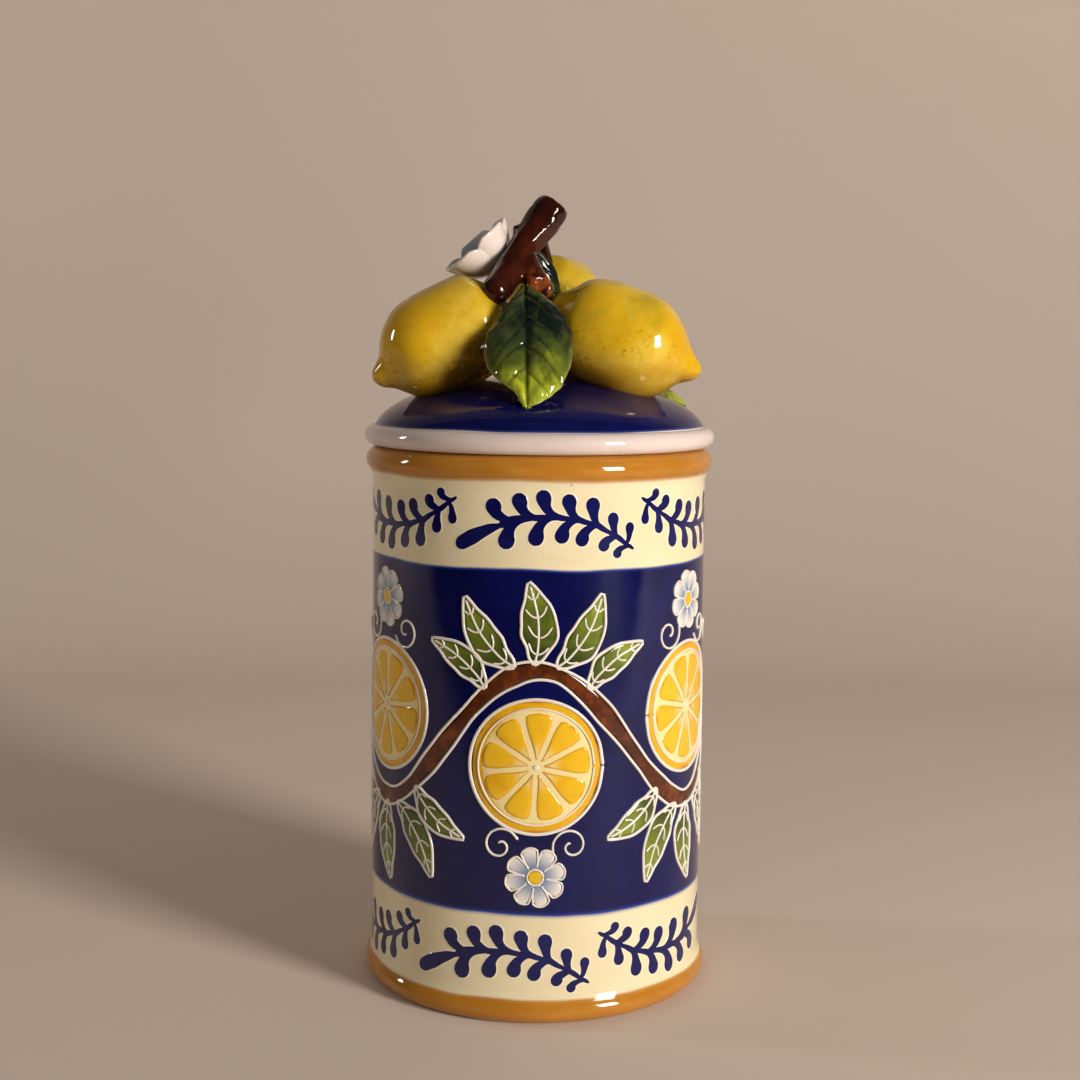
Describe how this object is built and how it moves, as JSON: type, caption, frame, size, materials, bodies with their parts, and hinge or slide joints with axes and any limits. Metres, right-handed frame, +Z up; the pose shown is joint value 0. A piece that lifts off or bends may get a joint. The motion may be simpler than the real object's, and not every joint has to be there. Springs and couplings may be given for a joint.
{
  "type": "lidded ceramic canister",
  "caption": "Tall round glazed canister with a domed lift-off lid, whose knob is a sculpted cluster of lemons, leaves, a branch and a blossom.",
  "frame": {"origin": "centre of the foot, on the surface that the canister stands on", "axes": "+Z up along the jar's axis, -Y towards the front with the hanging leaf, +X to the right as seen from the front"},
  "size_m": [0.1262, 0.1262, 0.2812],
  "materials": {
    "jar_glaze": "glossy cream, ochre and cobalt glaze with raised white slip lines",
    "lid_glaze": "glossy cobalt glaze with a white edge roll",
    "seal_silicone": "translucent matte silicone",
    "lemon_glaze": "glossy lemon yellow with ochre and brown speckle",
    "branch_glaze": "glossy dark brown",
    "leaf_glaze": "glossy green, dark to lime",
    "petal_glaze": "glossy white outside, blue-grey inside",
    "button_glaze": "glossy yellow"
  },
  "bodies": {
    "jar": {"jar_body": "jar_glaze"},
    "seal": {"lid_seal": "seal_silicone"},
    "lid": {"lid_shell": "lid_glaze", "lemon_left": "lemon_glaze", "lemon_right": "lemon_glaze", "lemon_back": "lemon_glaze", "branch": "branch_glaze", "leaf_front": "leaf_glaze", "leaf_right": "leaf_glaze", "leaf_top": "leaf_glaze", "flower_petals": "petal_glaze", "flower_centre": "button_glaze"}
  },
  "joints": [
    {"name": "lid_lift", "type": "slide", "parent": "jar", "child": "seal", "axis": [0, 0, 1], "range_m": [0, 0.06]},
    {"name": "lid_turn", "type": "hinge", "parent": "seal", "child": "lid", "pos_m": [0, 0, 0.185], "axis": [0, 0, 1], "continuous": true}
  ]
}
